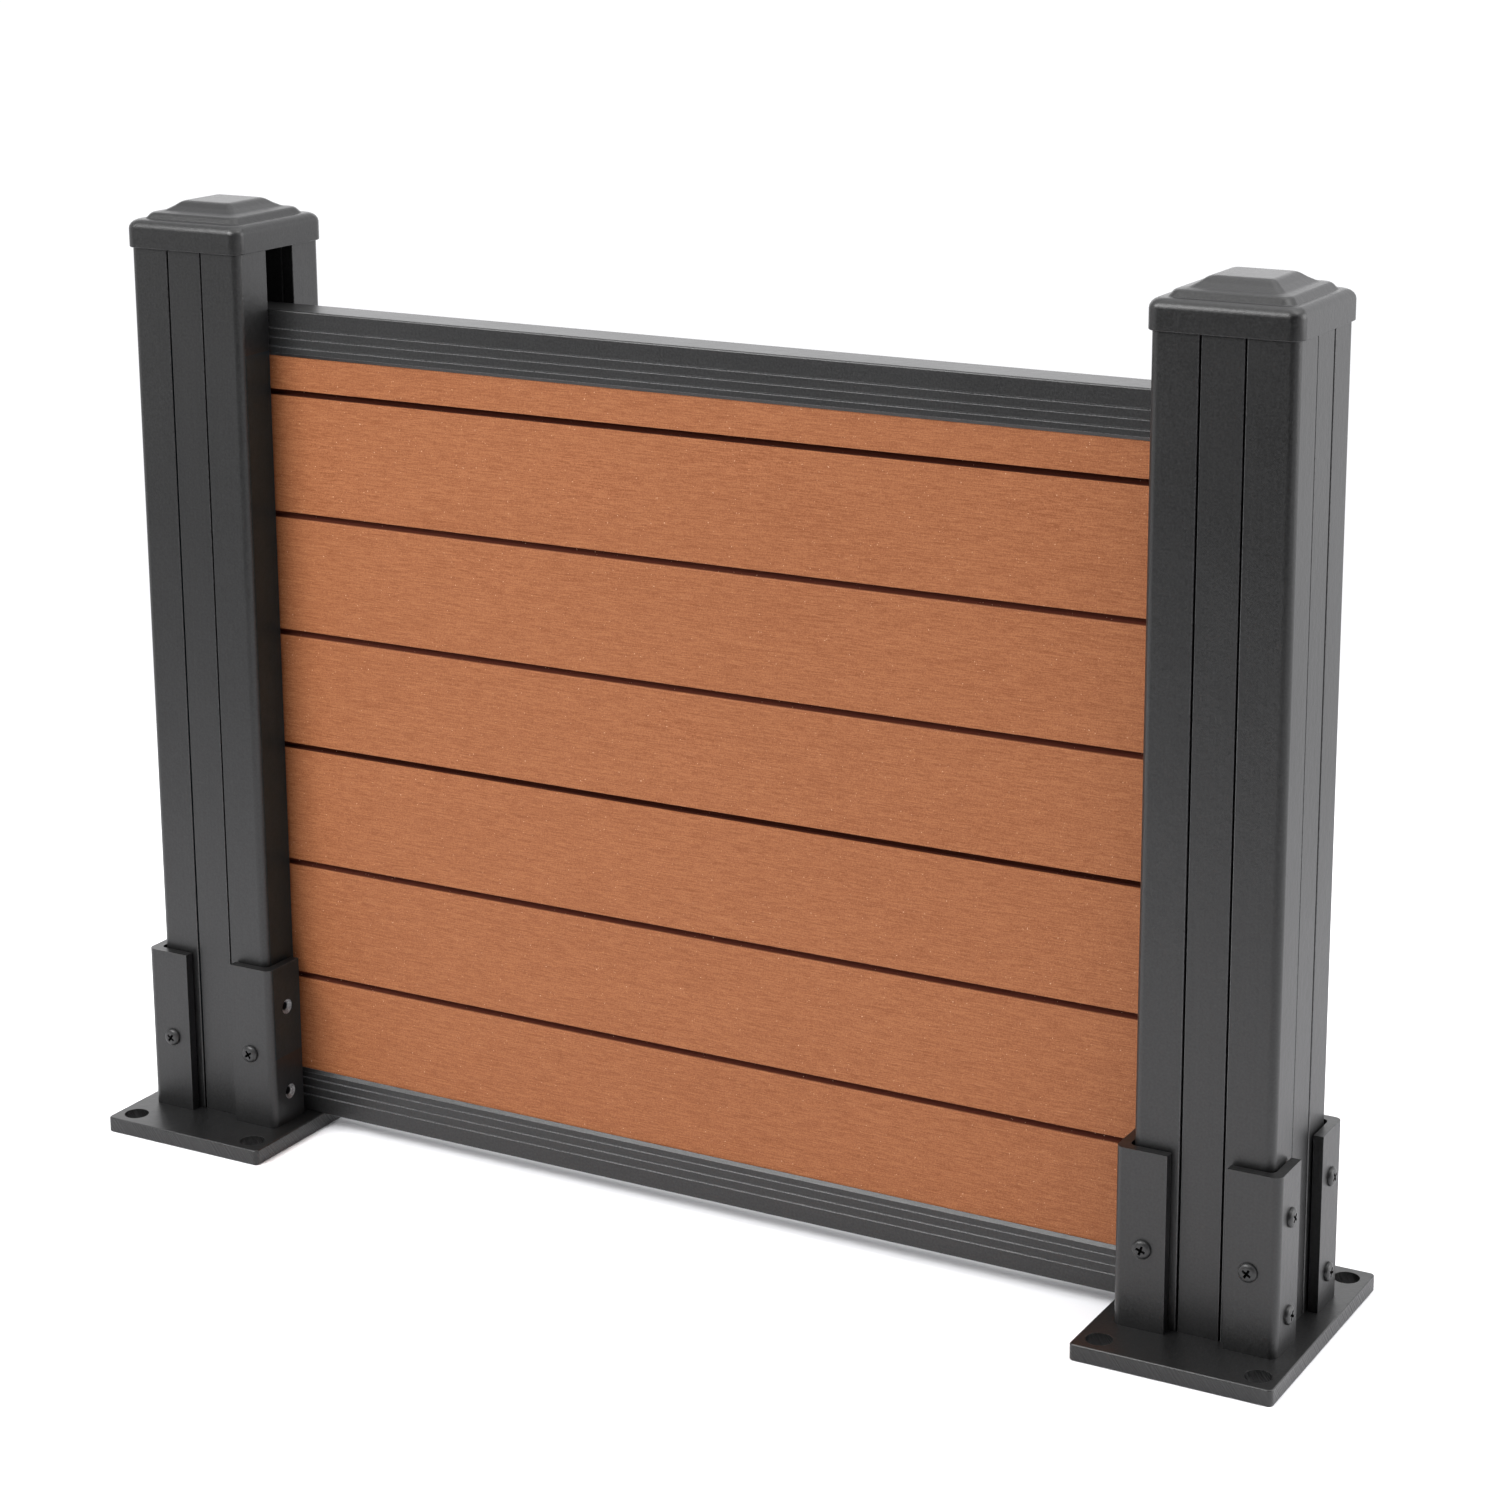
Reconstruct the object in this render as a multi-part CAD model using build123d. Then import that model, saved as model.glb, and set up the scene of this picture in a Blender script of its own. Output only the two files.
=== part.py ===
from build123d import *
import os

os.makedirs("parts", exist_ok=True)

# Post: square aluminium extrusion with a slot in each face, a chamber in each corner and one in the middle
post_size = 70.0
post_spacing = 573.0
post_headroom = 30.9
post_wall = 1.8
post_corner_r = 4.5
slot_width = 22.4
slot_mouth_chamfer = 0.3
snap_depth = 5.6
snap_height = 1.8
snap_reach = 0.8

# Cover strip: clips into a slot that holds no panel, flush with the post's face
strip_side_gap = 0.7
strip_wall = 1.6
strip_recess = 0.2
strip_edge_chamfer = 0.2
strip_leg_length = 8.6
strip_top_gap = 1.0
snap_clearance = 0.15

# Post cap: thin moulded shell that slips over the post's end
cap_clearance = 0.4
cap_wall = 1.4
cap_overlap = 12.3
cap_skirt_height = 10.5
cap_edge_r = 4.0
cap_ledge = 2.6
cap_riser_draft = 3.4
cap_riser_height = 3.3
cap_shoulder_run = 1.3
cap_shoulder_drop = 0.5
cap_shelf = 4.0
cap_shelf_rise = 0.6
cap_slope_rise = 4.9
cap_flat_width = 30.5
cap_hip_chamfer = 1.6
cap_rim_seat = 4.0
round_steps = 4

# Base plate: thick flat bar with one anchor hole near each corner
plate_width = 101.0
plate_depth = 140.0
plate_thickness = 8.4
plate_corner_r = 2.5
plate_edge_break = 0.5
anchor_hole_d = 13.0
anchor_edge_distance = 11.0

# Corner angle: stands on the plate at each corner of the post
angle_gap = 1.0
angle_thickness = 5.0
angle_leg = 26.2
angle_height = 89.8
angle_outer_r = 4.0
angle_inner_r = 3.2
screw_hole_d = 4.5
screw_sink_d = 8.2
screw_edge_distance = 11.6
face_screw_z = 40.9
side_screw_low_z = 17.0
side_screw_high_z = 65.7

# Rail: aluminium channel with a closed box behind it, and three fine lines cut along each side
rail_clearance = 0.3
rail_height = 24.4
rail_wall = 1.5
rail_shelf = 1.5
rail_channel_depth = 10.4
rail_corner_r = 1.0
rail_end_gap = 4.0
lip_bevel_height = 1.8
lip_edge = 0.3
line_width = 1.5
line_depth = 0.5
line_first = 5.1
line_pitch = 4.8
line_count = 3

# Board: composite plank with tongue and groove edges and two mock joints on each face
plank_pitch = 64.0
planks_per_board = 3
board_clearance = 0.15
board_end_gap = 6.0
top_board_height = 31.4
tongue_width = 7.0
tongue_height = 7.5
tongue_clearance = 0.3
joint_gap_height = 3.2
joint_gap_depth = 3.4
mock_joint_width = 3.6
mock_joint_floor = 2.0
mock_joint_depth = 2.6
mock_joint_upper_draft = 0.3

# Sizes that follow from the ones above
post_half = post_size / 2
slot_half = slot_width / 2
slot_floor = slot_half + post_wall
slot_depth = post_half - slot_floor
clear_span = post_spacing - post_size
rail_half = slot_half - rail_clearance
rail_inner = rail_half - rail_wall
rail_length = clear_span + 2 * (slot_depth - rail_end_gap)
board_half = rail_inner - board_clearance
board_length = clear_span + 2 * (slot_depth - board_end_gap)
board_height = plank_pitch * planks_per_board
board_seat_z = plate_thickness + rail_height - rail_channel_depth
middle_board_z = board_seat_z + board_height
top_board_z = middle_board_z + board_height
top_rail_z = top_board_z + top_board_height - rail_channel_depth + rail_height
post_base_z = plate_thickness
post_top_z = top_rail_z + post_headroom + cap_overlap
post_length = post_top_z - post_base_z
cap_half = post_half + cap_clearance + cap_wall
cap_corner_r = post_corner_r + cap_clearance + cap_wall
angle_inner = post_half + angle_gap
angle_outer = angle_inner + angle_thickness
angle_end = angle_outer - angle_leg
screw_offset = angle_end + screw_edge_distance
screw_sink_depth = (screw_sink_d - screw_hole_d) / 2
cut_over = 1.0


def mirrored_polygon(half_points):
    """Closed outline from the points of its right half, listed from the centre line out and back to it."""
    left = [(-x, y) for x, y in reversed(half_points) if x > 0]
    return make_face(Polyline(*half_points, *left, close=True))


def slot_cut():
    """Outline of the slot in the post's back face, with a snap groove in each side wall."""
    groove_half = slot_half + snap_reach
    mouth_half = slot_half + slot_mouth_chamfer
    return mirrored_polygon([
        (0, post_half + cut_over),
        (mouth_half, post_half + cut_over),
        (mouth_half, post_half),
        (slot_half, post_half - slot_mouth_chamfer),
        (slot_half, post_half - snap_depth),
        (groove_half, post_half - snap_depth),
        (groove_half, post_half - snap_depth - snap_height),
        (slot_half, post_half - snap_depth - snap_height),
        (slot_half, slot_floor),
        (0, slot_floor),
    ])


def post():
    """Nine cells in a square: a hollow middle and corners, and an open slot in the middle of each side."""
    section = RectangleRounded(post_size, post_size, post_corner_r)
    chamber = post_half - slot_half - 2 * post_wall
    chamber_at = slot_half + post_wall + chamber / 2
    for turn in range(4):
        section -= Rot(0, 0, 90 * turn) * slot_cut()
        section -= Rot(0, 0, 90 * turn) * Pos(chamber_at, chamber_at) * Rectangle(chamber, chamber)
    middle = 2 * (slot_floor - post_wall)
    section -= Rectangle(middle, middle)
    return Pos(0, 0, post_base_z) * extrude(section, post_length)


def cover_strip(turn):
    """Strip with two sprung legs, drawn in the back slot and turned to its own face of the post."""
    face_half = slot_half - strip_side_gap
    face = post_half - strip_recess
    under = face - strip_wall
    barb_top = post_half - snap_depth - snap_clearance
    barb_end = post_half - snap_depth - snap_height + snap_clearance
    leg_end = post_half - strip_leg_length
    section = mirrored_polygon([
        (0, face),
        (face_half - strip_edge_chamfer, face),
        (face_half, face - strip_edge_chamfer),
        (face_half, barb_top),
        (slot_half + snap_reach - snap_clearance, barb_top),
        (slot_half - snap_clearance, barb_end),
        (face_half, leg_end),
        (face_half - strip_wall, leg_end),
        (face_half - strip_wall, under),
        (0, under),
    ])
    strip = extrude(section, post_length - strip_top_gap)
    return Pos(0, 0, post_base_z) * Rot(0, 0, turn) * strip


def rolled_skirt():
    """Straight-sided loft through rounded squares: up the skirt, then over its rolled edge to the ledge."""
    levels = [(cap_half, 0)]
    for step in range(round_steps + 1):
        roll = Vector(1, 0).rotate(Axis.Z, 90 * step / round_steps)
        levels.append((cap_half - cap_edge_r * (1 - roll.X), cap_skirt_height + cap_edge_r * roll.Y))
    squares = []
    for half, z in levels:
        corner = cap_corner_r - (cap_half - half)
        squares.append(Pos(0, 0, z) * RectangleRounded(2 * half, 2 * half, corner))
    return loft(squares, ruled=True)


def crown_outline():
    """Half widths and heights of the cap's stepped top, from the ledge on the skirt to the flat."""
    riser_half = cap_half - cap_edge_r - cap_ledge
    riser_z = cap_skirt_height + cap_edge_r
    shoulder_half = riser_half - cap_riser_draft
    shoulder_z = riser_z + cap_riser_height
    shelf_z = shoulder_z + cap_shelf_rise
    return [
        (riser_half, riser_z),
        (shoulder_half + cap_shoulder_run, shoulder_z - cap_shoulder_drop),
        (shoulder_half, shoulder_z),
        (shoulder_half - cap_shelf, shelf_z),
        (cap_flat_width / 2, shelf_z + cap_slope_rise),
    ]


def moulding(points, turn):
    """Straight bar of a mirrored outline, as long as the cap's diagonal, turned about the cap's axis."""
    section = mirrored_polygon([(0, points[0][1]), *points, (0, points[-1][1])])
    return Rot(0, 0, turn) * extrude(Plane.XZ * section, 2 * cap_half, both=True)


def square_stack(points):
    """Hipped top with broken hips: what four mouldings of one outline have in common where they cross."""
    root_two = 2 ** 0.5
    hips = [(half * root_two - cap_hip_chamfer / root_two, z) for half, z in points]
    return moulding(points, 0) & moulding(points, 90) & moulding(hips, 45) & moulding(hips, -45)


def post_cap():
    """Skirt with a rolled edge, a moulded step, and a low pyramid with a flat top, hollow below."""
    crown = crown_outline()
    cap = rolled_skirt() + square_stack(crown)
    inside = post_size + 2 * cap_clearance
    cap -= extrude(RectangleRounded(inside, inside, post_corner_r + cap_clearance), cap_overlap)
    hollow = [
        (post_half - cap_rim_seat, cap_overlap),
        (cap_flat_width / 2 - cap_wall, crown[-1][1] - cap_wall),
    ]
    cap -= square_stack(hollow)
    return Pos(0, 0, post_top_z - cap_overlap) * cap


def base_plate():
    blank = extrude(RectangleRounded(plate_width, plate_depth, plate_corner_r), plate_thickness)
    rims = blank.edges().group_by(Axis.Z)
    blank = chamfer(rims[0] + rims[-1], plate_edge_break)
    span_x = plate_width - 2 * anchor_edge_distance
    span_y = plate_depth - 2 * anchor_edge_distance
    bore = Cylinder(anchor_hole_d / 2, plate_thickness, align=(Align.CENTER, Align.CENTER, Align.MIN))
    for at in GridLocations(span_x, span_y, 2, 2):
        blank -= at * bore
    return blank


def screw_hole(at, outward, sunk):
    """Through hole in a leg, with a conical sink where the outward direction leaves it if it stays open."""
    hole = Cylinder(screw_hole_d / 2, 2 * angle_thickness + cut_over)
    if sunk:
        hole += Pos(0, 0, -screw_sink_depth / 2) * Cone(screw_hole_d / 2, screw_sink_d / 2, screw_sink_depth)
    return Plane(origin=at, z_dir=outward) * hole


def corner_angle(side_x, side_y, open_side):
    """Angle at one corner of the post: one hole in the leg on the front or back, two in the side leg."""
    corners = [
        (angle_end, angle_outer),
        (angle_outer, angle_outer),
        (angle_outer, angle_end),
        (angle_inner, angle_end),
        (angle_inner, angle_inner),
        (angle_end, angle_inner),
    ]
    section = make_face(Polyline(*[(side_x * x, side_y * y) for x, y in corners], close=True))
    section = fillet(section.vertices().sort_by_distance((0, 0, 0))[-1], angle_outer_r)
    heel = Vertex(side_x * angle_inner, side_y * angle_inner, 0)
    section = fillet(section.vertices().sort_by_distance(heel)[0], angle_inner_r)
    angle = Pos(0, 0, plate_thickness) * extrude(section, angle_height)
    face_at = (side_x * screw_offset, side_y * angle_outer, plate_thickness + face_screw_z)
    angle -= screw_hole(face_at, (0, side_y, 0), False)
    for z in (side_screw_low_z, side_screw_high_z):
        side_at = (side_x * angle_outer, side_y * screw_offset, plate_thickness + z)
        angle -= screw_hole(side_at, (side_x, 0, 0), open_side)
    return angle


def rail():
    """Rail drawn with its channel upwards and its box resting on the height zero, along the panel."""
    side = [(0, 0), (rail_half, 0)]
    for index in reversed(range(line_count)):
        middle = rail_height - line_first - index * line_pitch
        side += [
            (rail_half, middle - line_width / 2),
            (rail_half - line_depth, middle),
            (rail_half, middle + line_width / 2),
        ]
    shelf_z = rail_height - rail_channel_depth
    side += [
        (rail_half, rail_height - lip_bevel_height),
        (rail_inner + lip_edge, rail_height),
        (rail_inner, rail_height),
        (rail_inner, shelf_z),
        (0, shelf_z),
    ]
    section = mirrored_polygon(side)
    section = fillet(section.vertices().group_by(Axis.Y)[0], rail_corner_r)
    box_height = shelf_z - rail_shelf - rail_wall
    box = Rectangle(2 * rail_inner, box_height, align=(Align.CENTER, Align.MIN))
    section -= Pos(0, rail_wall) * box
    profile = Plane(origin=(-rail_length / 2, 0, 0), x_dir=(0, 1, 0), z_dir=(1, 0, 0)) * section
    return extrude(profile, rail_length)


def board(height, tongued):
    """Board standing on the height zero: groove below, mock joints on both faces, tongue above."""
    section = Rectangle(2 * board_half, height, align=(Align.CENTER, Align.MIN))
    groove_width = tongue_width + 2 * tongue_clearance
    groove_height = tongue_height + tongue_clearance
    section -= Rectangle(groove_width, groove_height, align=(Align.CENTER, Align.MIN))
    gap = Rectangle(joint_gap_depth, joint_gap_height, align=(Align.MAX, Align.MIN))
    floor = board_half - mock_joint_depth
    mock = make_face(Polyline(
        (board_half, -mock_joint_width / 2),
        (floor, mock_joint_width / 2 - mock_joint_upper_draft - mock_joint_floor),
        (floor, mock_joint_width / 2 - mock_joint_upper_draft),
        (board_half, mock_joint_width / 2),
        close=True,
    ))
    cuts = [Pos(board_half, 0) * gap]
    cuts += [Pos(0, plank_pitch * n) * mock for n in range(1, planks_per_board) if plank_pitch * n < height]
    for cut in cuts:
        section -= cut
        section -= mirror(cut, about=Plane.YZ)
    if tongued:
        section += Pos(0, height) * Rectangle(tongue_width, tongue_height, align=(Align.CENTER, Align.MIN))
    profile = Plane(origin=(-board_length / 2, 0, 0), x_dir=(0, 1, 0), z_dir=(1, 0, 0)) * section
    return extrude(profile, board_length)


pieces = {}
post_solid = post()
cap_solid = post_cap()
plate_solid = base_plate()
for name, side in (("left", -1), ("right", 1)):
    place = Pos(side * post_spacing / 2, 0, 0)
    pieces[f"{name}_post"] = place * post_solid
    pieces[f"{name}_post_cap"] = place * cap_solid
    pieces[f"{name}_base_plate"] = place * plate_solid
    for face, turn in (("front", 180), ("back", 0), ("outer", -90 * side)):
        pieces[f"{name}_{face}_cover_strip"] = place * cover_strip(turn)
    for face, side_y in (("front", -1), ("back", 1)):
        pieces[f"{name}_{face}_outer_angle"] = place * corner_angle(side, side_y, False)
        pieces[f"{name}_{face}_inner_angle"] = place * corner_angle(-side, side_y, True)

rail_solid = rail()
pieces["bottom_rail"] = Pos(0, 0, plate_thickness) * rail_solid
pieces["top_rail"] = Pos(0, 0, top_rail_z) * Rot(180, 0, 0) * rail_solid

full_board = board(board_height, True)
pieces["bottom_board"] = Pos(0, 0, board_seat_z) * full_board
pieces["middle_board"] = Pos(0, 0, middle_board_z) * full_board
pieces["top_board"] = Pos(0, 0, top_board_z) * board(top_board_height, False)

for node, solid in pieces.items():
    solid.label = node
    export_step(solid, f"parts/{node}.step")
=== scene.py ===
import math

import bmesh
import bpy
from mathutils import Matrix, Vector


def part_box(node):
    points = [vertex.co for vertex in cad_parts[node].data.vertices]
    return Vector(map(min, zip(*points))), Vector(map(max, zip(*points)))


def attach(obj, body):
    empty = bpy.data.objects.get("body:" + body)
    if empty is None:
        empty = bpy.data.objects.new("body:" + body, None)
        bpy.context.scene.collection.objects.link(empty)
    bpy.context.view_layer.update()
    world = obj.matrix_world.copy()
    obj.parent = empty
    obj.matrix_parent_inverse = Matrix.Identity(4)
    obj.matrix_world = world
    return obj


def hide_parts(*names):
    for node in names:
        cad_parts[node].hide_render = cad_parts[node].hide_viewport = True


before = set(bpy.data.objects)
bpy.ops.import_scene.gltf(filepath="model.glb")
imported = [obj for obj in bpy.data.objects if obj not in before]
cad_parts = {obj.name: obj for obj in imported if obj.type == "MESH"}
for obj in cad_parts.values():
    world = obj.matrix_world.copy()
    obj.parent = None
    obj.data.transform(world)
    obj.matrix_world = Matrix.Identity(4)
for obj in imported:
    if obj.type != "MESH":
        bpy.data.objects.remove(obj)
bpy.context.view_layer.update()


# Base plates: two pieces sawn from thick aluminium flat bar, drilled for four anchors each.
# Satin black powder coat, thinner and painted paler along the broken edges as worn coat and painted
# highlight, with the saw's slanting marks on the sides.
class Socket:
    """One socket of a node tree. Signs between two of them, or with a number, add Math nodes."""

    def __init__(self, tree, socket):
        self.tree = tree
        self.socket = socket

    def node(self, kind, settings=None, sockets=None, output=0):
        """Any node of the tree: its type, its settings, then the values or links of its inputs."""
        made = self.tree.nodes.new(kind)
        for name, value in (settings or {}).items():
            setattr(made, name, value)
        for name, value in (sockets or {}).items():
            if isinstance(value, Socket):
                self.tree.links.new(value.socket, made.inputs[name])
            else:
                made.inputs[name].default_value = value
        return Socket(self.tree, made.outputs[output])

    def maths(self, operation, first, second):
        """One Math node, from two sockets or numbers."""
        return self.node("ShaderNodeMath", {"operation": operation}, {0: first, 1: second})

    def __add__(self, other):
        return self.maths("ADD", self, other)

    def __radd__(self, other):
        return self.maths("ADD", other, self)

    def __sub__(self, other):
        return self.maths("SUBTRACT", self, other)

    def __rsub__(self, other):
        return self.maths("SUBTRACT", other, self)

    def __mul__(self, other):
        return self.maths("MULTIPLY", self, other)

    def __rmul__(self, other):
        return self.maths("MULTIPLY", other, self)

    def __truediv__(self, other):
        return self.maths("DIVIDE", self, other)

    def __rtruediv__(self, other):
        return self.maths("DIVIDE", other, self)

    def __pow__(self, other):
        return self.maths("POWER", self, other)

    def __rpow__(self, other):
        return self.maths("POWER", other, self)


def new_finish(name):
    """An empty finish, its shader, and the place on the piece that every pattern reads."""
    finish = bpy.data.materials.new(name)
    finish.use_nodes = True
    tree = finish.node_tree
    place = tree.nodes.new("ShaderNodeTexCoord")
    return finish, tree.nodes["Principled BSDF"], Socket(tree, place.outputs["Object"])


def feed(source, node, name):
    """Links a socket to one input of a shader or another node."""
    source.tree.links.new(source.socket, node.inputs[name])


def speckle(place, size, detail=2.0):
    """Even random grain, about as coarse as the size in metres."""
    return place.node("ShaderNodeTexNoise", {},
                      {"Vector": place, "Scale": 1.0 / size, "Detail": detail, "Roughness": 0.6})


def streaks(place, lengths, detail=2.0):
    """Random grain that is drawn out to a different length along each axis."""
    drawn = place.node("ShaderNodeVectorMath", {"operation": "DIVIDE"}, {0: place, 1: lengths})
    return drawn.node("ShaderNodeTexNoise", {},
                      {"Vector": drawn, "Scale": 1.0, "Detail": detail, "Roughness": 0.55})


def between(value, low, high):
    """0 up to low, 1 from high on, and a soft step between."""
    return value.node("ShaderNodeMapRange", {"interpolation_type": "SMOOTHSTEP"},
                      {"Value": value, "From Min": low, "From Max": high})


def along(vector, axis):
    """One of the three numbers of a place or a direction."""
    return vector.node("ShaderNodeSeparateXYZ", {}, {"Vector": vector}, axis)


def blend(share, first, second):
    """The first colour where the share is 0, the second where it is 1."""
    return share.node("ShaderNodeMix", {"data_type": "RGBA"}, {0: share, 6: first, 7: second}, 2)


def grey(value):
    """A grey with a trace of blue."""
    return (value, value, value * 1.02, 1.0)


def dented(height, strength, depth):
    """The surface's direction over small dents as deep as the depth in metres."""
    return height.node("ShaderNodeBump", {}, {"Height": height, "Strength": strength, "Distance": depth})


sand_size = 0.0012
peel_size = 0.0045
cloud_size = 0.09
dust_size = 0.0016
dust_colour = (0.30, 0.29, 0.28, 1.0)
dust_share = 0.16
saw_marks_per_metre = 750.0
saw_slope = 0.8
skin_depth = 0.0003
coat_bump = 0.34
coat_gloss = 1.5


def powder_coat(name, tone, roughness, draw_lines=None, sawn_sides=False):
    """Satin black powder coat: fine sand in the skin, a slow orange peel, faint dust on what faces up."""
    coat, shader, place = new_finish(name)
    sand = speckle(place, sand_size)
    peel = speckle(place, peel_size, 1.0)
    cloud = speckle(place, cloud_size, 3.0)
    depth = (sand - 0.5) * 2.4 + (cloud - 0.5) * 0.5 + 0.5
    height = sand * 0.55 + peel * 0.9
    if draw_lines:
        lines = streaks(place, draw_lines)
        depth = depth + (lines - 0.5) * 0.4
        height = height + lines * 0.35
    up = along(place.node("ShaderNodeNewGeometry", {}, {}, "Normal"), 2)
    if sawn_sides:
        slant = (along(place, 0) + along(place, 1) + along(place, 2) * saw_slope) * saw_marks_per_metre
        marks = slant.node("ShaderNodeTexNoise", {"noise_dimensions": "1D"},
                           {"W": slant, "Scale": 1.0, "Detail": 2.0})
        side = 1.0 - between(up.maths("ABSOLUTE", up, 0.0), 0.2, 0.5)
        height = height + marks * side * 4.0
        depth = depth + (marks - 0.5) * side * 3.2
    dust = between(speckle(place, dust_size), 0.70, 0.80) * between(up, 0.75, 0.98)
    skin = blend(depth, grey(tone * 0.3), grey(tone * 1.7))
    feed(blend(dust * dust_share, skin, dust_colour), shader, "Base Color")
    feed(roughness + (cloud - 0.5) * 0.08 + (sand - 0.5) * 0.10 + dust * 0.15, shader, "Roughness")
    feed(dented(height, coat_bump, skin_depth), shader, "Normal")
    shader.inputs["IOR"].default_value = coat_gloss
    return coat


def settle(piece):
    """Turns a piece and its modifiers into a plain mesh."""
    finished = piece.evaluated_get(bpy.context.evaluated_depsgraph_get())
    mesh = bpy.data.meshes.new_from_object(finished)
    piece.modifiers.clear()
    piece.data = mesh


def smooth_flats(piece, crease=42.0):
    """Smooth over the drawn radii, with the flats kept flat and true corners kept sharp."""
    piece.data.shade_smooth()
    piece.data.set_sharp_from_angle(angle=math.radians(crease))
    flats = piece.modifiers.new("true_flats", "WEIGHTED_NORMAL")
    flats.keep_sharp = True
    settle(piece)


weld_reach = 2e-6
flat_angle = math.radians(0.4)
corner_angle = math.radians(32)


def eased(node, width, coats, shape=None):
    """The CAD piece with its sharp edges eased as the coat leaves them; the last coat is on those edges."""
    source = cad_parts[node].data
    mesh = bpy.data.meshes.new("coated_" + node)
    mesh.from_pydata([v.co[:] for v in source.vertices], [], [p.vertices[:] for p in source.polygons])
    work = bmesh.new()
    work.from_mesh(mesh)
    bmesh.ops.remove_doubles(work, verts=work.verts, dist=weld_reach)
    bmesh.ops.dissolve_limit(work, angle_limit=flat_angle, verts=work.verts, edges=work.edges)
    if shape:
        shape(work)
    work.to_mesh(mesh)
    work.free()
    for coat in coats:
        mesh.materials.append(coat)
    piece = bpy.data.objects.new("coated_" + node, mesh)
    bpy.context.scene.collection.objects.link(piece)
    ease = piece.modifiers.new("eased_edges", "BEVEL")
    ease.width = width
    ease.segments = 2
    ease.limit_method = "ANGLE"
    ease.angle_limit = corner_angle
    ease.material = len(coats) - 1
    settle(piece)
    smooth_flats(piece)
    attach(piece, "root")
    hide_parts(node)


coat_tone = 0.0065
coat_roughness = 0.40
# Eased edges get a far paler coat: thin coat at the edges and a painted highlight along them.
edge_wear_and_highlight_tone = 0.032
edge_roughness = 0.30
plate_ease = 0.00025

plate_coat = powder_coat("plate_coat", coat_tone, coat_roughness, sawn_sides=True)
# Broken edges: worn coat and painted highlight.
plate_edge = powder_coat("plate_edge", edge_wear_and_highlight_tone * 0.5, edge_roughness)
for side in ("left", "right"):
    eased(side + "_base_plate", plate_ease, [plate_coat, plate_edge])


# Corner angles: eight lengths of extruded aluminium angle, sawn off square, that stand on the plates
# and grip the post's corners. Black powder coat over the drawn skin, painted paler in the countersinks as a
# painted highlight.
angle_ease = 0.0005
angle_lines = (0.0012, 0.0012, 0.16)
angle_coat = powder_coat("angle_coat", coat_tone * 0.9, coat_roughness, angle_lines)
# Eased edges: worn coat and painted highlight.
angle_edge = powder_coat("angle_edge", edge_wear_and_highlight_tone, edge_roughness)
# Countersinks: a far paler coat, a painted highlight.
painted_countersink_highlight = powder_coat("painted_countersink_highlight", edge_wear_and_highlight_tone * 4, edge_roughness)
# Painted reflection: faces toward the boards between these heights get a copy of the coat whose reflection is
# tinted cool.
shaded_low = 0.047
shaded_high = 0.430
shaded_gloss = 1.6
painted_cool_reflection = (0.36, 0.78, 1.0, 1.0)
square_on = 0.97
cone_slant = (0.3, 0.9)
cone_face_area = 1e-5


def shaded_coat(name, tone, draw_lines):
    """The coat of a side that stands in the boards' shade, with a painted cool tint on its reflection against
    the boards' brown.
    """
    coat = powder_coat(name, tone, coat_roughness, draw_lines)
    shader = coat.node_tree.nodes["Principled BSDF"]
    shader.inputs["IOR"].default_value = shaded_gloss
    shader.inputs["Specular Tint"].default_value = painted_cool_reflection
    return coat


def panel_side(work):
    """Second coat, with its painted cool reflection, on the faces that look at the boards, between the rails;
    third coat, a painted highlight, in the countersinks.
    """
    inward = -math.copysign(1.0, next(iter(work.verts)).co.x)
    for height in (shaded_low, shaded_high):
        work.normal_update()
        cut = set()
        for face in work.faces:
            if face.normal.x * inward > square_on:
                cut.update([face], face.edges, face.verts)
        bmesh.ops.bisect_plane(work, geom=list(cut), plane_co=(0.0, 0.0, height), plane_no=(0.0, 0.0, 1.0))
    work.normal_update()
    for face in work.faces:
        turned_in = face.normal.x * inward
        if turned_in > square_on and shaded_low < face.calc_center_median().z < shaded_high:
            face.material_index = 1
        elif cone_slant[0] < turned_in < cone_slant[1] and face.calc_area() < cone_face_area:
            face.material_index = 2


# Angle sides toward the boards: a lighter copy of the coat with the painted cool reflection.
angle_shaded = shaded_coat("angle_shaded", coat_tone * 1.2, angle_lines)
for side in ("left", "right"):
    for face in ("front", "back"):
        eased(f"{side}_{face}_outer_angle", angle_ease, [angle_coat, angle_edge])
        eased(f"{side}_{face}_inner_angle", angle_ease, [angle_coat, angle_shaded, painted_countersink_highlight, angle_edge],
              panel_side)


# Posts: square aluminium extrusions with a slot down each face, rounded corners and a chamber in each.
# Drawn through a die, so the faint lines run up the post; then powder coated satin black.
post_ease = 0.0002
post_lines = (0.0014, 0.0014, 0.25)
post_coat = powder_coat("post_coat", coat_tone, coat_roughness, post_lines)
# Post sides toward the boards: a copy of the coat with the painted cool reflection.
post_shaded = shaded_coat("post_shaded", coat_tone, post_lines)
# Eased edges: worn coat and painted highlight.
post_edge = powder_coat("post_edge", edge_wear_and_highlight_tone, edge_roughness)
for side in ("left", "right"):
    eased(side + "_post", post_ease, [post_coat, post_shaded, post_edge], panel_side)


# Cover strips: thin extruded strips that clip into each slot that holds no panel, flush with the face.
# Same coat as the post, from another batch, so a shade lighter.
strip_coat = powder_coat("strip_coat", coat_tone * 1.06, coat_roughness, post_lines)
# Eased edges: worn coat and painted highlight.
strip_edge = powder_coat("strip_edge", edge_wear_and_highlight_tone, edge_roughness)
strip_ease = 0.0002
strip_face = 0.0019
strip_edge_band = 0.0005
strip_shy = 0.0003


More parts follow.
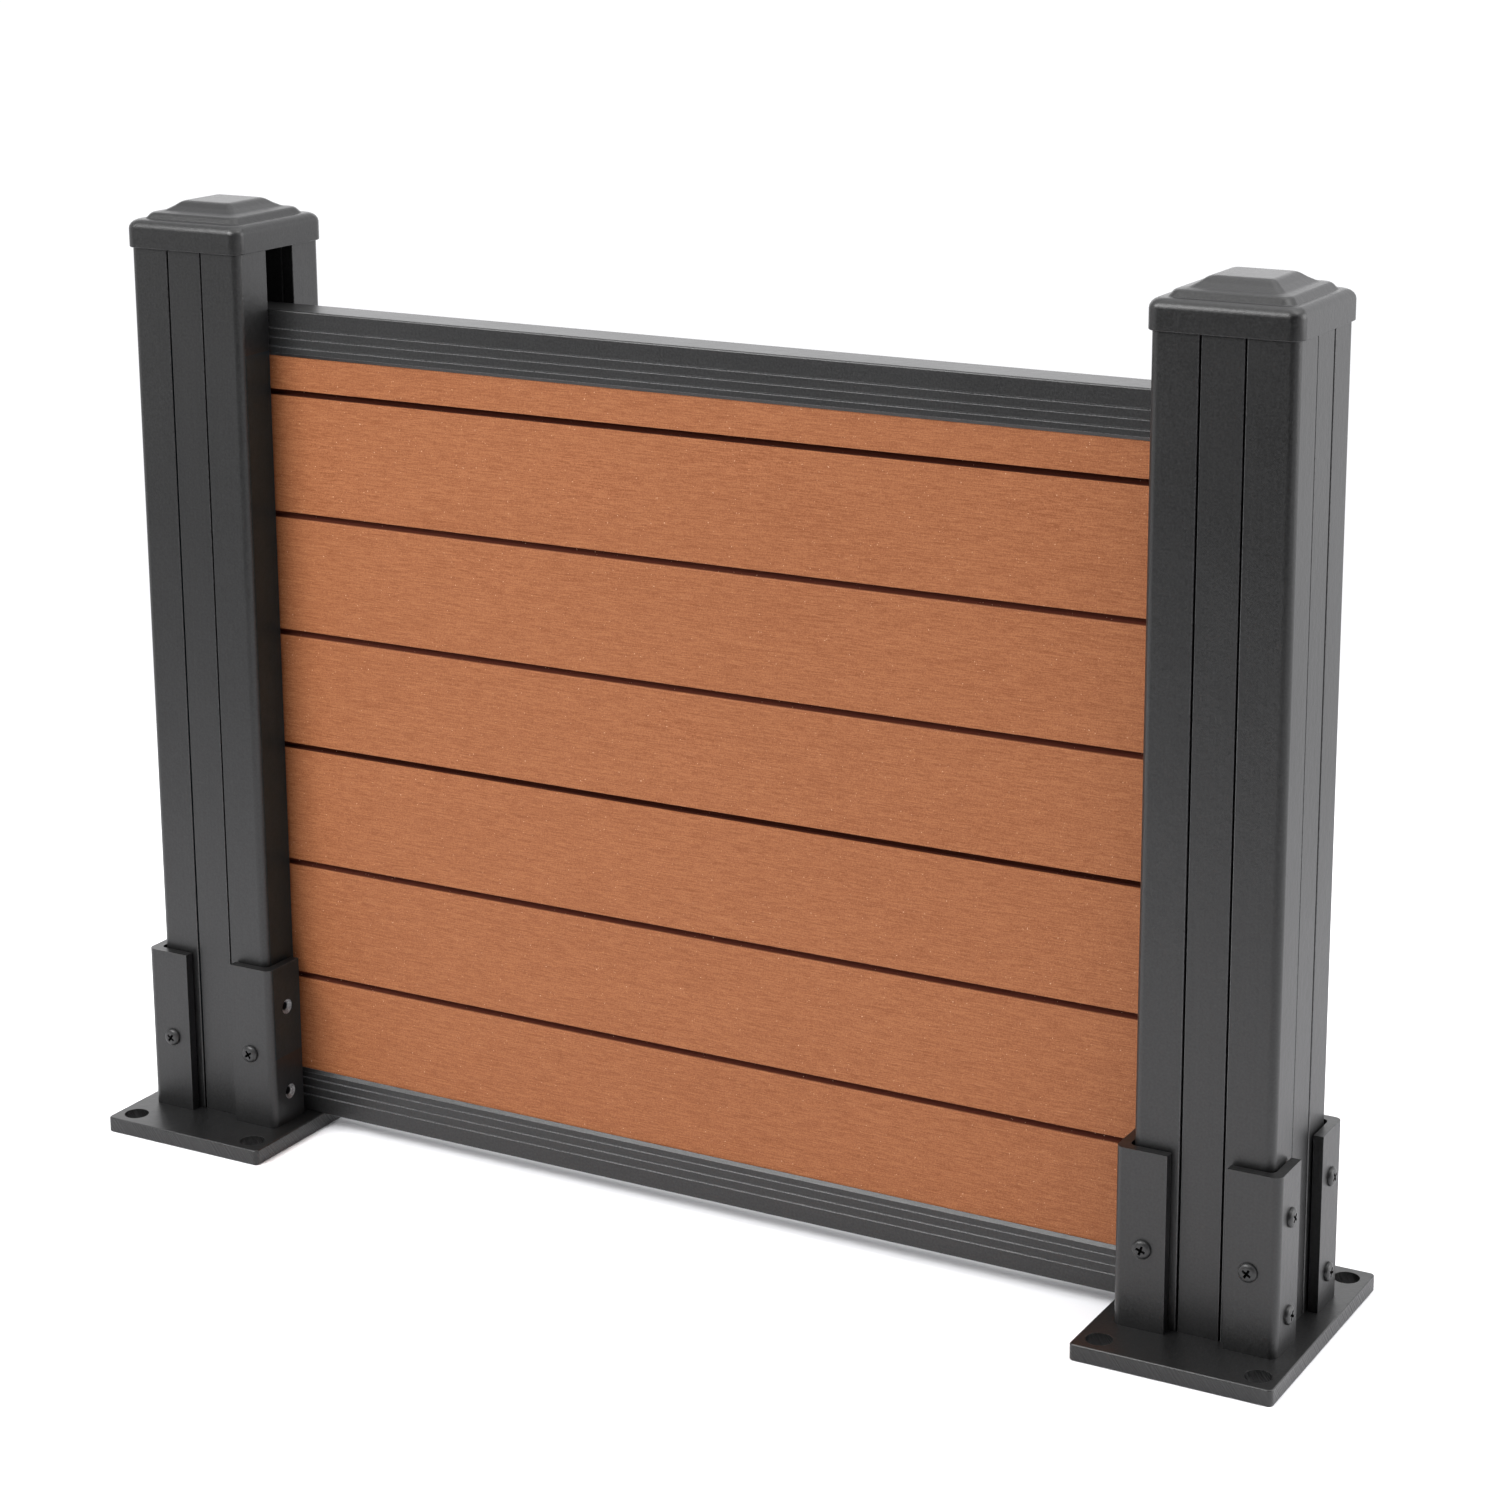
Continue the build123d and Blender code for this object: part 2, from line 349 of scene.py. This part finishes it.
def shy_of_slot(work):
    """Draws both long edges of the strip's face in a little, so the dark gap beside it shows."""
    spans = [[vert.co[axis] for vert in work.verts] for axis in range(2)]
    across = 0 if max(spans[0]) - min(spans[0]) > max(spans[1]) - min(spans[1]) else 1
    depth = 1 - across
    middle = (max(spans[across]) + min(spans[across])) / 2
    face = max(spans[depth], key=abs)
    outer = [vert for vert in work.verts if abs(vert.co[depth] - face) < strip_face]
    half = max(abs(vert.co[across] - middle) for vert in outer)
    for vert in outer:
        off = vert.co[across] - middle
        if abs(off) > half - strip_edge_band:
            vert.co[across] -= math.copysign(strip_shy, off)


for side in ("left", "right"):
    for face in ("front", "back", "outer"):
        eased(f"{side}_{face}_cover_strip", strip_ease, [strip_coat, strip_edge], shy_of_slot)


# Rails: extruded channels, one under and one over the boards, with three fine lines along each side.
# Both slide into the posts' slots; black powder coat with the draw lines running along the rail.
rail_ease = 0.00008
rail_lines = (0.25, 0.0014, 0.0014)
rail_half = 0.0109
line_floor = 0.0104
line_reach = 0.0009
fine_half = 0.00042
on_line = 2e-5
flank_slant = (0.2, 0.9)


def fine_lines(work):
    """Draws each line in to a fine one, with the paler edge coat on the flank that faces up as a painted
    highlight.
    """
    work.normal_update()
    middles = {round(v.co.z, 6) for v in work.verts if abs(abs(v.co.y) - line_floor) < on_line}
    painted_highlight_flanks = [face for face in work.faces if flank_slant[0] < face.normal.z < flank_slant[1]
              and min(abs(face.calc_center_median().z - z) for z in middles) < line_reach]
    for vert in work.verts:
        for z in middles:
            if on_line < abs(vert.co.z - z) < line_reach and abs(abs(vert.co.y) - rail_half) < on_line:
                vert.co.z = z + math.copysign(fine_half, vert.co.z - z)
    for face in painted_highlight_flanks:
        face.material_index = 1


rail_coat = powder_coat("rail_coat", coat_tone * 1.5, coat_roughness, rail_lines)
# Paler coat on the eased edges and the lines' upward flanks: painted highlight, with worn coat on the edges.
rail_edge = powder_coat("rail_edge", edge_wear_and_highlight_tone * 1.8, edge_roughness)
for end in ("bottom", "top"):
    eased(end + "_rail", rail_ease, [rail_coat, rail_edge], fine_lines)


# Boards: co-extruded wood composite, three tongued boards stacked in the rails and the posts' slots.
# Orange-brown skin, brushed lengthwise, with pale and dark flecks of wood flour and slow changes of tone.
board_ease = 0.00035
board_face = 0.00918
groove_floor = 0.0082
brush_lines = (0.016, 0.004, 0.00044)
hair_lines = (0.0075, 0.002, 0.00036)
band_lines = (0.060, 0.020, 0.0030)
patch_size = (0.16, 0.08, 0.05)
grain_size = 0.0005
pale_fleck_size = 0.0010
pale_fleck_range = (0.760, 0.790)
dark_fleck_size = 0.0013
dark_fleck_range = (0.785, 0.815)
board_dark = (0.198, 0.060, 0.0185)
board_light = (0.311, 0.119, 0.0480)
painted_groove_shade = (0.046, 0.0056, 0.0010, 1.0)
pale_fleck = (0.68, 0.44, 0.30, 1.0)
dark_fleck = (0.11, 0.035, 0.014, 1.0)
board_roughness = 0.60
board_bump = 0.30
board_gloss = 1.32


def composite_skin(name, lighter):
    """Brushed composite: streaks along the board, fine grain, flecks, and painted shade, dark brown, down in
    the grooves.
    """
    skin, shader, place = new_finish(name)
    brushed = streaks(place, brush_lines)
    fine = streaks(place, hair_lines, 1.0)
    grain = speckle(place, grain_size, 1.0)
    broad = streaks(place, band_lines, 3.0)
    patch = streaks(place, patch_size, 3.0)
    tone = ((brushed - 0.5) * 0.95 + (fine - 0.5) * 1.6 + (grain - 0.5) * 1.9
            + (broad - 0.5) * 0.15 + (patch - 0.5) * 0.25 + 0.5)
    dark_skin, light_skin = [tuple(part * lighter for part in colour) + (1.0,)
                             for colour in (board_dark, board_light)]
    brushed_face = blend(tone, dark_skin, light_skin)
    inward = along(place, 1)
    # Painted shade: deep in the grooves the colour turns dark brown.
    groove_shade = 1.0 - between(inward.maths("ABSOLUTE", inward, 0.0), groove_floor, board_face)
    body = blend(groove_shade * 0.96, brushed_face, painted_groove_shade)
    pale = between(speckle(place, pale_fleck_size, 1.0), *pale_fleck_range)
    dark = between(speckle(place, dark_fleck_size, 1.0), *dark_fleck_range)
    flecked = blend(pale * 0.6, body, pale_fleck)
    feed(blend(dark * 0.65, flecked, dark_fleck), shader, "Base Color")
    feed(board_roughness + (brushed - 0.5) * 0.16 + (patch - 0.5) * 0.08 + groove_shade * 0.3, shader, "Roughness")
    height = brushed * 0.5 + fine * 0.5 + grain * 0.4 + broad * 0.2 + pale * 0.2
    feed(dented(height, board_bump, skin_depth), shader, "Normal")
    shader.inputs["IOR"].default_value = board_gloss
    return skin


board_skin = composite_skin("board_composite", 1.0)
# Eased edges a shade paler: painted highlight.
board_edge = composite_skin("board_edge", 1.06)
for level in ("bottom", "middle", "top"):
    eased(level + "_board", board_ease, [board_skin, board_edge])


# Post caps: thin cast aluminium shells that slip over the posts' ends, with a rolled skirt, a stepped
# ledge and a low hipped top. Black powder coat, a little smoother than the posts'.
# The run below goes up the side and in over the top: half width, height and the radius of each corner.
cap_skirt = 0.0368
cap_corner = 0.0063
cap_taper = 0.18
cap_wall = 0.0014
cap_depth = 0.0123
cap_rim = 0.0004
cap_crease = 50.0
cap_roughness = 0.39
arc_steps = 5
corner_steps = 7
cap_run = [(cap_skirt, 0.0000, 0.0), (cap_skirt, 0.0145, 0.0048), (0.0302, 0.0145, 0.0010),
           (0.0277, 0.0177, 0.0030), (0.0228, 0.0184, 0.0060), (0.0190, 0.02055, 0.0120),
           (0.01525, 0.0233, 0.0065), (0.0060, 0.0233, 0.0)]


def rounded_run(points, steps):
    """The run from point to point with each corner turned into an arc of its own radius."""
    run = []
    for i, (x, z, radius) in enumerate(points):
        here = Vector((x, z))
        if not radius:
            run.append(here)
            continue
        back = (Vector(points[i - 1][:2]) - here).normalized()
        on = (Vector(points[i + 1][:2]) - here).normalized()
        half = back.angle(on) / 2
        reach = radius / math.tan(half)
        centre = here + (back + on).normalized() * (radius / math.sin(half))
        first = here + back * reach - centre
        last = here + on * reach - centre
        turn = math.atan2(first.x * last.y - first.y * last.x, first.dot(last))
        for step in range(steps + 1):
            angle = turn * step / steps
            run.append(centre + Vector((first.x * math.cos(angle) - first.y * math.sin(angle),
                                        first.x * math.sin(angle) + first.y * math.cos(angle))))
    return run


def cap_ring(work, centre, half, height, radius, steps):
    """One level of the cap: a square with rounded corners."""
    ring = []
    for corner in range(4):
        for step in range(steps + 1):
            angle = math.radians(90 * (corner + step / steps))
            sign_x = 1 if corner in (0, 3) else -1
            sign_y = 1 if corner in (0, 1) else -1
            ring.append(work.verts.new((centre.x + sign_x * (half - radius) + radius * math.cos(angle),
                                        centre.y + sign_y * (half - radius) + radius * math.sin(angle),
                                        centre.z + height)))
    return ring


def post_cap(node, coat):
    """The shell: up inside the skirt, round its rim, up the outside and over the top."""
    low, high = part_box(node)
    foot = Vector(((low.x + high.x) / 2, (low.y + high.y) / 2, low.z))
    inner = cap_skirt - cap_wall
    levels = [(p.x, p.y, cap_corner - (cap_skirt - p.x) * cap_taper) for p in rounded_run(cap_run, arc_steps)]
    inner_corner = cap_corner - cap_wall
    rim = [(inner, cap_depth, inner_corner), (inner, cap_rim, inner_corner),
           (inner + cap_rim, 0.0, inner_corner + cap_rim),
           (cap_skirt - cap_rim, 0.0, cap_corner - cap_rim), (cap_skirt, cap_rim, cap_corner)]
    work = bmesh.new()
    rings = [cap_ring(work, foot, half, height, radius, corner_steps)
             for half, height, radius in rim + levels[1:]]
    for under, over in zip(rings, rings[1:]):
        for i in range(len(under)):
            j = (i + 1) % len(under)
            work.faces.new((under[i], under[j], over[j], over[i]))
    work.faces.new(rings[-1])
    work.faces.new(reversed(rings[0]))
    bmesh.ops.recalc_face_normals(work, faces=work.faces)
    mesh = bpy.data.meshes.new("moulded_" + node)
    work.to_mesh(mesh)
    work.free()
    mesh.materials.append(coat)
    cap = bpy.data.objects.new("moulded_" + node, mesh)
    bpy.context.scene.collection.objects.link(cap)
    smooth_flats(cap, cap_crease)
    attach(cap, "root")
    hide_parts(node)


cap_coat = powder_coat("cap_coat", coat_tone, cap_roughness)
for side in ("left", "right"):
    post_cap(side + "_post_cap", cap_coat)


# Screws: black pan-head steel screws with a cross recess, through the angles into the posts.
# One on each front and back leg and two on each outer side leg; each was driven to its own turn.
screw_out = 0.041
screw_across = 0.0264
face_screw_z = 0.0493
side_screw_z = (0.0254, 0.0741)
screw_grain_size = 0.0006
screw_rub_size = 0.0030
screw_dent = 0.0002
screw_bump = 0.12
screw_roughness = 0.36
recess_roughness = 0.8
recess_gloss = 1.15
screw_finish, screw_shader, screw_place = new_finish("blackened_steel")
screw_grain = speckle(screw_place, screw_grain_size)
screw_rub = speckle(screw_place, screw_rub_size)
feed(blend(screw_rub, grey(0.006), grey(0.016)), screw_shader, "Base Color")
feed(screw_roughness + screw_grain * 0.12, screw_shader, "Roughness")
feed(dented(screw_grain, screw_bump, screw_dent), screw_shader, "Normal")
screw_shader.inputs["IOR"].default_value = coat_gloss
# Painted shade in the cross recess: near-black and matt.
recess_painted_shade, recess_shader, recess_place = new_finish("screw_recess_painted_shade")
recess_grain = speckle(recess_place, screw_grain_size)
feed(blend(recess_grain, grey(0.001), grey(0.004)), recess_shader, "Base Color")
recess_shader.inputs["Roughness"].default_value = recess_roughness
recess_shader.inputs["IOR"].default_value = recess_gloss

heads = bpy.data.node_groups.new("pan_head_screws", "GeometryNodeTree")
head_sizes = {}
for label, kind in (("Places", "NodeSocketGeometry"), ("Head Radius", "NodeSocketFloat"),
                    ("Head Height", "NodeSocketFloat"), ("Recess Length", "NodeSocketFloat"),
                    ("Recess Width", "NodeSocketFloat"), ("Recess Depth", "NodeSocketFloat")):
    head_sizes[label] = heads.interface.new_socket(name=label, in_out="INPUT", socket_type=kind).identifier
heads.interface.new_socket(name="Screws", in_out="OUTPUT", socket_type="NodeSocketGeometry")
given = heads.nodes.new("NodeGroupInput")
result = heads.nodes.new("NodeGroupOutput")
places, head_radius, head_height, recess_length, recess_width, recess_depth = [
    Socket(heads, given.outputs[label]) for label in head_sizes]

crown_power, crown_drop = 8.0, 0.28
tuck_power, tuck_share = 3.0, 0.10
recess_foot, recess_flare = 0.78, 0.22
recess_reach, recess_brim = 0.7, 0.95
blank = places.node("GeometryNodeMeshCylinder", {"fill_type": "TRIANGLE_FAN"},
                    {"Vertices": 40, "Side Segments": 4, "Fill Segments": 5,
                     "Radius": head_radius, "Depth": head_height}, "Mesh")
spot = places.node("GeometryNodeInputPosition")
spot_x, spot_y, spot_z = [along(spot, axis) for axis in range(3)]
rise = spot_z + head_height * 0.5
up_share = rise / head_height
out_share = spot_x.maths("SQRT", spot_x * spot_x + spot_y * spot_y, 0.0) / head_radius
crown = 1.0 - out_share ** crown_power * crown_drop
tuck = 1.0 - up_share ** tuck_power * tuck_share
domed = spot.node("ShaderNodeCombineXYZ", {}, {"X": spot_x * tuck, "Y": spot_y * tuck, "Z": rise * crown})
head = blank.node("GeometryNodeSetPosition", {}, {"Geometry": blank, "Position": domed})

recess_size = places.node("ShaderNodeCombineXYZ", {},
                          {"X": recess_length, "Y": recess_width, "Z": recess_depth * 2.0})
bar = recess_size.node("GeometryNodeMeshCube", {}, {"Size": recess_size}, "Mesh")
narrowing = recess_foot + spot_z / recess_depth * recess_flare
tapered = spot.node("ShaderNodeCombineXYZ", {},
                    {"X": spot_x * narrowing, "Y": spot_y * narrowing, "Z": spot_z + head_height})
wing = bar.node("GeometryNodeSetPosition", {}, {"Geometry": bar, "Position": tapered})
crossing = wing.node("GeometryNodeTransform", {}, {"Geometry": wing, "Rotation": (0.0, 0.0, math.pi / 2)})
driven = head.node("GeometryNodeMeshBoolean", {"operation": "DIFFERENCE", "solver": "EXACT"},
                   {"Mesh 1": head, "Mesh 2": wing, "Self Intersection": True}, "Mesh")
feed(crossing, driven.socket.node, "Mesh 2")
in_reach = out_share.maths("LESS_THAN", out_share, recess_reach)
below_brim = spot_z.maths("LESS_THAN", spot_z, head_height * recess_brim)
marked = driven.node("GeometryNodeStoreNamedAttribute", {"data_type": "BOOLEAN", "domain": "FACE"},
                     {"Geometry": driven, "Name": "recess", "Value": in_reach * below_brim})

outward = places.node("GeometryNodeInputNamedAttribute", {"data_type": "FLOAT_VECTOR"},
                      {"Name": "outward"}, "Attribute")
aimed = outward.node("FunctionNodeAlignRotationToVector", {"axis": "Z"}, {"Vector": outward})
own_turn = places.node("FunctionNodeRandomValue", {"data_type": "FLOAT"},
                       {2: 0.0, 3: math.pi / 2, "Seed": 11}, 1)
spin = own_turn.node("FunctionNodeAxisAngleToRotation", {}, {"Axis": (0.0, 0.0, 1.0), "Angle": own_turn})
turned = aimed.node("FunctionNodeRotateRotation", {"rotation_space": "LOCAL"},
                    {"Rotation": aimed, "Rotate By": spin})
set_in = places.node("GeometryNodeInstanceOnPoints", {},
                     {"Points": places, "Instance": marked, "Rotation": turned})
whole = set_in.node("GeometryNodeRealizeInstances", {}, {"Geometry": set_in})
blackened = whole.node("GeometryNodeSetMaterial", {}, {"Geometry": whole, "Material": screw_finish})
in_recess = places.node("GeometryNodeInputNamedAttribute", {"data_type": "BOOLEAN"},
                        {"Name": "recess"}, "Attribute")
shadowed = blackened.node("GeometryNodeSetMaterial", {},
                          {"Geometry": blackened, "Selection": in_recess, "Material": recess_painted_shade})
feed(shadowed, result, "Screws")

screw_places = []
for side, away in (("left", -1), ("right", 1)):
    low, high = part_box(side + "_post")
    middle = (low.x + high.x) / 2
    for face in (-1, 1):
        for end in (-1, 1):
            screw_places.append(((middle + end * screw_across, face * screw_out, face_screw_z), (0, face, 0)))
        for height in side_screw_z:
            screw_places.append(((middle + away * screw_out, face * screw_across, height), (away, 0, 0)))
screw_mesh = bpy.data.meshes.new("angle_screws")
screw_mesh.from_pydata([at for at, way in screw_places], [], [])
ways = screw_mesh.attributes.new("outward", "FLOAT_VECTOR", "POINT")
for entry, (at, way) in zip(ways.data, screw_places):
    entry.vector = way
head_crease = 48.0
screws = bpy.data.objects.new("angle_screws", screw_mesh)
bpy.context.scene.collection.objects.link(screws)
fitting = screws.modifiers.new("pan_head_screws", "NODES")
fitting.node_group = heads
for label, size in (("Head Radius", 0.00475), ("Head Height", 0.0022), ("Recess Length", 0.0062),
                    ("Recess Width", 0.0016), ("Recess Depth", 0.0020)):
    fitting[head_sizes[label]] = size
settle(screws)
screws.data.shade_smooth()
screws.data.set_sharp_from_angle(angle=math.radians(head_crease))
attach(screws, "root")


# Floor: a plain white studio sheet that the plates stand on.
# Matt board with a barely seen tooth; its far edge melts into the white behind it.
floor_radius = 1.9
floor_fade = (0.45, 1.3)
tooth_size = 0.004
floor_roughness = 0.9
floor_mesh = bpy.data.meshes.new("studio_floor")
floor_work = bmesh.new()
bmesh.ops.create_circle(floor_work, cap_ends=True, segments=96, radius=floor_radius)
floor_work.to_mesh(floor_mesh)
floor_work.free()
floor_finish, floor_shader, floor_place = new_finish("white_sheet")
floor_tooth = speckle(floor_place, tooth_size)
feed(blend(floor_tooth, grey(0.94), grey(0.96)), floor_shader, "Base Color")
floor_shader.inputs["Roughness"].default_value = floor_roughness
floor_reach = floor_place.node("ShaderNodeVectorMath", {"operation": "LENGTH"}, {0: floor_place}, "Value")
floor_clear = floor_place.node("ShaderNodeBsdfTransparent")
floor_sheet = Socket(floor_place.tree, floor_shader.outputs[0])
floor_edge = floor_place.node("ShaderNodeMixShader", {},
                              {0: between(floor_reach, *floor_fade), 1: floor_sheet, 2: floor_clear})
feed(floor_edge, floor_place.tree.nodes["Material Output"], "Surface")
floor_mesh.materials.append(floor_finish)
floor = bpy.data.objects.new("studio_floor", floor_mesh)
bpy.context.scene.collection.objects.link(floor)


# Studio light: a white room, dimmer on the camera's side, that the satin coat mirrors at a slant.
# Wide soft boxes overhead, on the right and behind give the top and right-hand faces their paler grey;
# two small cards lift the left post's front and the caps' corners.
front_way = (-0.02, -0.912, 0.41)
front_fade = (0.30, 0.82)
front_dim = 0.05
right_way = (0.25, 0.955, 0.15)
right_fade = (0.75, 1.0)
right_glow = 1.45
room_strength = 1.06
surroundings = bpy.data.worlds.new("white_studio")
surroundings.use_nodes = True
sky = surroundings.node_tree.nodes["Background"]
sky.inputs["Strength"].default_value = room_strength
look_node = surroundings.node_tree.nodes.new("ShaderNodeTexCoord")
look = Socket(surroundings.node_tree, look_node.outputs["Generated"])
towards_front = look.node("ShaderNodeVectorMath", {"operation": "DOT_PRODUCT"},
                          {0: look, 1: front_way}, "Value")
dimmed = between(towards_front, *front_fade)
towards_right = look.node("ShaderNodeVectorMath", {"operation": "DOT_PRODUCT"},
                          {0: look, 1: right_way}, "Value")
lit = between(towards_right, *right_fade)
glow = blend(lit, grey(1.0), grey(right_glow))
mirrored = blend(dimmed, glow, grey(front_dim))
seen = look.node("ShaderNodeLightPath", {}, {}, "Is Camera Ray")
feed(blend(seen, mirrored, grey(1.0)), sky, "Color")
bpy.context.scene.world = surroundings


def soft_box(name, at, towards, width, height, watts):
    """A flat lamp at one place that looks towards another, not seen itself."""
    lamp = bpy.data.lights.new(name, "AREA")
    lamp.shape = "RECTANGLE"
    lamp.size = width
    lamp.size_y = height
    lamp.energy = watts
    box = bpy.data.objects.new(name, lamp)
    box.location = at
    box.rotation_euler = (Vector(towards) - Vector(at)).to_track_quat("-Z", "Y").to_euler()
    box.visible_camera = False
    bpy.context.scene.collection.objects.link(box)


soft_box("key_box", (-0.75, -1.25, 1.45), (0.05, 0.0, 0.25), 1.0, 0.9, 44.0)
soft_box("overhead_box", (0.2, 0.0, 2.6), (0.0, 0.1, 0.2), 3.4, 2.8, 42.0)
soft_box("right_box", (2.3, 0.9, 1.0), (0.0, 0.0, 0.25), 1.6, 1.8, 40.0)
soft_box("back_box", (-2.0, 3.0, 1.25), (0.0, 0.0, 0.45), 3.2, 1.7, 18.0)
soft_box("left_card", (-1.25, -1.25, 0.30), (-0.29, 0.0, 0.42), 0.7, 0.5, 0.8)
soft_box("top_card", (0.75, -0.05, 2.0), (0.29, 0.0, 0.48), 0.7, 0.7, 6.0)
bpy.context.scene.view_settings.view_transform = "Standard"


# Camera: stands to the right of the bay, a little above it, as a product picture is taken.
# A long lens, with some shift so that the posts stay nearly upright in the picture.
camera_at = (0.82796, -1.41176, 0.72933)
camera_azimuth = math.radians(29.008)
camera_height_angle = math.radians(13.349)
camera_roll = math.radians(-0.256)
camera_data = bpy.data.cameras.new("product_camera")
camera_data.sensor_width = 36.0
camera_data.lens = 81.634
camera_data.shift_x = -0.0197
camera_data.shift_y = -0.1239
camera = bpy.data.objects.new("product_camera", camera_data)
bpy.context.scene.collection.objects.link(camera)
across_view = Vector((math.cos(camera_azimuth), math.sin(camera_azimuth), 0.0))
behind = Vector((math.sin(camera_azimuth) * math.cos(camera_height_angle),
                 -math.cos(camera_azimuth) * math.cos(camera_height_angle),
                 math.sin(camera_height_angle)))
above = behind.cross(across_view)
rolled_across = across_view * math.cos(camera_roll) + above * math.sin(camera_roll)
rolled_above = above * math.cos(camera_roll) - across_view * math.sin(camera_roll)
camera.matrix_world = Matrix.Translation(camera_at) @ Matrix(
    (rolled_across, rolled_above, behind)).transposed().to_4x4()
bpy.context.scene.camera = camera
